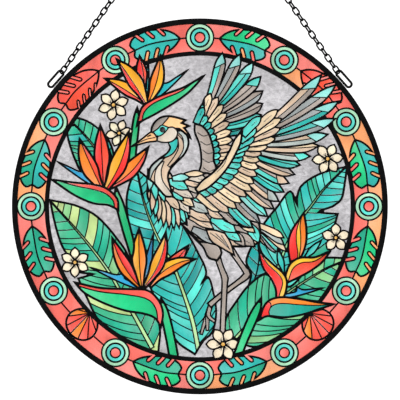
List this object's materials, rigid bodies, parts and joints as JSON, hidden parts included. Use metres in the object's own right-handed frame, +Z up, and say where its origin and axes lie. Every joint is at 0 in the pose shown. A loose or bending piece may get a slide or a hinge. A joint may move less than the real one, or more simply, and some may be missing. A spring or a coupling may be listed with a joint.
{
  "type": "stained glass panel",
  "caption": "Round leaded glass panel with a wading bird among flowers and leaves, a border of roundels and leaf bays, and two chains to a ring that it hangs from.",
  "frame": {"origin": "the point where a hook bears, inside the top of the ring that both chains meet at", "axes": "+Z up towards the hook, -Y towards the front of the panel, +X to the right seen from the front"},
  "size_m": [0.3, 0.0064, 0.4272],
  "materials": {
    "lead": "lead and solder with a black patina, softly shiny",
    "blackened_steel": "blackened wire, slightly worn",
    "petal_glass": "streaky orange, red and yellow glass",
    "bloom_glass": "cream opalescent glass",
    "bird_glass": "wispy cream, tan and grey glass with turquoise feathers",
    "teal_glass": "streaky turquoise glass",
    "green_glass": "streaky green glass",
    "clear_glass": "pale grey glass with a rippled face",
    "bay_glass": "coral and peach glass with green, red and orange leaf motifs",
    "roundel_glass": "pale green and turquoise rings round a coral middle"
  },
  "bodies": {
    "root": {"background": "clear_glass", "background_2": "clear_glass", "background_3": "clear_glass", "background_4": "clear_glass", "background_5": "clear_glass", "background_6": "clear_glass", "bird_body": "bird_glass", "bird_head_and_neck": "bird_glass", "bloom_bottom": "bloom_glass", "bloom_left": "bloom_glass", "bloom_lower_left": "bloom_glass", "bloom_lower_right": "bloom_glass", "bloom_right": "bloom_glass", "bloom_upper_left": "bloom_glass", "border_bay_01": "bay_glass", "border_bay_02": "bay_glass", "border_bay_03": "bay_glass", "border_bay_04": "bay_glass", "border_bay_05": "bay_glass", "border_bay_06": "bay_glass", "border_bay_07": "bay_glass", "border_bay_08": "bay_glass", "border_bay_09": "bay_glass", "border_bay_10": "bay_glass", "border_bay_11": "bay_glass", "border_bay_12": "bay_glass", "chain_left": "blackened_steel", "chain_right": "blackened_steel", "far_wing_feathers": "bird_glass", "far_wing_inner": "bird_glass", "flower_left": "petal_glass", "flower_lower_left": "petal_glass", "flower_right": "petal_glass", "flower_top": "petal_glass", "hanging_loop_left": "blackened_steel", "hanging_loop_right": "blackened_steel", "leaf_lower_left": "green_glass", "leaf_lower_right": "green_glass", "leaf_lower_right_2": "green_glass", "leaf_lower_right_3": "green_glass", "leaf_middle": "teal_glass", "leaf_upper_left": "teal_glass", "leaf_upper_right": "teal_glass", "near_wing_feathers": "bird_glass", "near_wing_inner": "bird_glass", "rim": "lead", "roundel_01": "roundel_glass", "roundel_02": "roundel_glass", "roundel_03": "roundel_glass", "roundel_04": "roundel_glass", "roundel_05": "roundel_glass", "roundel_06": "roundel_glass", "roundel_07": "roundel_glass", "roundel_08": "roundel_glass", "roundel_09": "roundel_glass", "roundel_10": "roundel_glass", "roundel_11": "roundel_glass", "roundel_12": "roundel_glass", "seam_network": "lead", "top_ring": "blackened_steel"}
  },
  "joints": []
}
